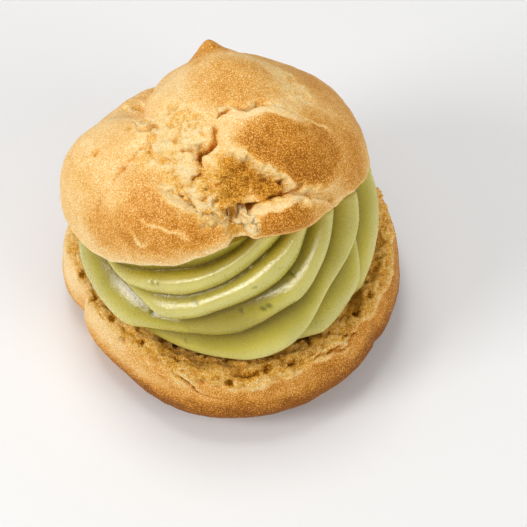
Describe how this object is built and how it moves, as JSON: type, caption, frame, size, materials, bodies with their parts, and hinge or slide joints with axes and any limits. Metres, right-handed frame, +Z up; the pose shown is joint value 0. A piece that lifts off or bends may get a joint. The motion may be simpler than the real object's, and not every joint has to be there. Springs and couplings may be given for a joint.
{
  "type": "cream puff",
  "caption": "Cream puff: a cracked choux bun cut across, its domed cap tipped back on a fat piped swirl of green cream that sits in the bowl-shaped base.",
  "frame": {"origin": "middle of the flat foot that the base stands on", "axes": "+Z up; -Y towards the front, where the cap is lifted highest; +X to the right seen from the front"},
  "size_m": [0.0798, 0.0799, 0.0766],
  "materials": {
    "base_crust": "baked choux, pale gold with a rough torn rim",
    "green_cream": "satin piped cream",
    "cap_crust": "baked choux, browned on its lobes and pale in its cracks"
  },
  "bodies": {
    "root": {"choux_base": "base_crust", "cream_swirl": "green_cream", "choux_cap": "cap_crust"}
  },
  "joints": []
}
